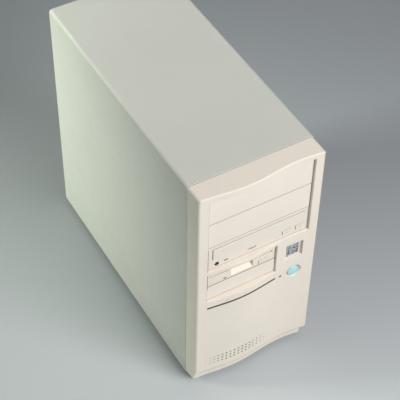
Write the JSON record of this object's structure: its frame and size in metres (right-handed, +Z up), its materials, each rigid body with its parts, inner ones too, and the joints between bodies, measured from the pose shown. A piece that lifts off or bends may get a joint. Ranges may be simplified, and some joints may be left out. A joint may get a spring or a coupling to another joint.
{
  "type": "desktop computer tower",
  "caption": "Beige tower computer with a sliding steel hood, wave-shaped moulded front, disc drawer, floppy drive, power button and working interior.",
  "frame": {"origin": "on the floor under the middle of the case, feet on Z = 0", "axes": "+X to the right seen from the front, front faces -Y, +Y to the rear sockets, +Z up"},
  "size_m": [0.18, 0.4144, 0.381],
  "materials": {
    "ivory_abs": "moulded ABS, fine spark texture",
    "cream_abs": "moulded ABS, slightly yellower",
    "hood_paint": "baked grey-beige paint, fine texture",
    "zinc_steel": "zinc-plated sheet",
    "nickel": "nickel plate",
    "black_plastic": "moulded",
    "rubber_foot": "soft rubber",
    "aqua_plastic": "gloss, convex",
    "led_red": "clear red lens, unlit",
    "badge_film": "silvery film on a plate",
    "pcb_green": "solder mask",
    "pcb_blue": "solder mask",
    "pcb_tan": "paper laminate and parts",
    "connector_white": "moulded",
    "connector_violet": "moulded",
    "connector_burgundy": "moulded",
    "connector_green": "moulded",
    "red_plastic": "moulded",
    "heatsink": "extruded fins",
    "drive_cast": "cast and stamped"
  },
  "bodies": {
    "case": {"front_bezel": "ivory_abs", "blank_525_upper": "ivory_abs", "blank_525_lower": "ivory_abs", "blank_35": "ivory_abs", "power_led": "led_red", "power_switch": "black_plastic", "case_badge": "badge_film", "feet": "rubber_foot", "base_pan": "zinc_steel", "front_panel": "zinc_steel", "rear_panel": "zinc_steel", "top_rails": "zinc_steel", "drive_cage_525": "zinc_steel", "drive_cage_35": "zinc_steel", "motherboard_tray": "zinc_steel", "psu_housing": "zinc_steel", "psu_circuit_board": "pcb_tan", "psu_fan_frame": "black_plastic", "psu_fan_grille": "nickel", "psu_inlet": "black_plastic", "psu_selector": "black_plastic", "psu_screws": "nickel", "motherboard": "pcb_green", "expansion_slots": "connector_white", "memory_slots": "black_plastic", "memory_module": "pcb_green", "cpu_socket": "connector_white", "cpu_heatsink": "heatsink", "cpu_fan_frame": "black_plastic", "io_shield": "nickel", "mini_din_ports": "connector_violet", "usb_ports": "nickel", "serial_ports": "nickel", "parallel_port": "connector_burgundy", "graphics_card": "pcb_blue", "graphics_bracket": "nickel", "sound_card": "pcb_green", "sound_bracket": "nickel", "audio_jacks": "connector_green", "slot_covers": "nickel", "cd_drive_body": "zinc_steel", "cd_drive_bezel": "ivory_abs", "cd_headphone_jack": "black_plastic", "floppy_body": "zinc_steel", "floppy_bezel": "cream_abs", "hard_drive": "drive_cast"},
    "hood": {"cover_hood": "hood_paint", "hood_screws": "nickel"},
    "power_key": {"power_button": "aqua_plastic"},
    "disc_tray": {"cd_tray": "black_plastic", "cd_tray_front": "ivory_abs"},
    "cd_eject_key": {"cd_eject_button": "ivory_abs"},
    "cd_play_key": {"cd_play_button": "ivory_abs"},
    "volume_wheel": {"cd_volume_wheel": "black_plastic"},
    "disk_flap": {"floppy_flap": "cream_abs"},
    "disk_eject_key": {"floppy_eject_button": "cream_abs"},
    "psu_rotor": {"psu_fan_rotor": "black_plastic"},
    "cpu_rotor": {"cpu_fan_rotor": "black_plastic"},
    "voltage_slider": {"psu_selector_slider": "red_plastic"},
    "socket_lever": {"zif_lever": "nickel"}
  },
  "joints": [
    {"name": "hood_slide", "type": "slide", "parent": "case", "child": "hood", "axis": [0, 1, 0], "range_m": [0, 0.36]},
    {"name": "power_button_press", "type": "slide", "parent": "case", "child": "power_key", "axis": [0, 1, 0], "range_m": [0, 0.0022], "stiffness_N_per_m": 900, "springref_m": -0.001},
    {"name": "disc_tray_slide", "type": "slide", "parent": "case", "child": "disc_tray", "axis": [0, -1, 0], "range_m": [0, 0.132]},
    {"name": "cd_eject_press", "type": "slide", "parent": "case", "child": "cd_eject_key", "axis": [0, 1, 0], "range_m": [0, 0.001], "stiffness_N_per_m": 800, "springref_m": -0.0005},
    {"name": "cd_play_press", "type": "slide", "parent": "case", "child": "cd_play_key", "axis": [0, 1, 0], "range_m": [0, 0.001], "stiffness_N_per_m": 800, "springref_m": -0.0005},
    {"name": "volume_turn", "type": "hinge", "parent": "case", "child": "volume_wheel", "pos_m": [-0.008, -0.19155, 0.2491], "axis": [0, 0, 1], "range_deg": [0, 280]},
    {"name": "disk_flap_swing", "type": "hinge", "parent": "case", "child": "disk_flap", "pos_m": [-0.0227, -0.19415, 0.2255], "axis": [1, 0, 0], "range_deg": [0, 80], "stiffness_Nm_per_rad": 0.0004, "springref_deg": -11.46},
    {"name": "disk_eject_slide", "type": "slide", "parent": "case", "child": "disk_eject_key", "axis": [0, -1, 0], "range_m": [0, 0.005]},
    {"name": "psu_fan_spin", "type": "hinge", "parent": "case", "child": "psu_rotor", "pos_m": [-0.024, 0.18925, 0.332], "axis": [0, 1, 0], "continuous": true},
    {"name": "cpu_fan_spin", "type": "hinge", "parent": "case", "child": "cpu_rotor", "pos_m": [0.035, 0.07645, 0.183], "axis": [1, 0, 0], "continuous": true},
    {"name": "voltage_select", "type": "slide", "parent": "case", "child": "voltage_slider", "axis": [1, 0, 0], "range_m": [0, 0.007]},
    {"name": "socket_lever_lift", "type": "hinge", "parent": "case", "child": "socket_lever", "pos_m": [0.0742, 0.05345, 0.21], "axis": [0, 0, 1], "range_deg": [0, 95]}
  ]
}
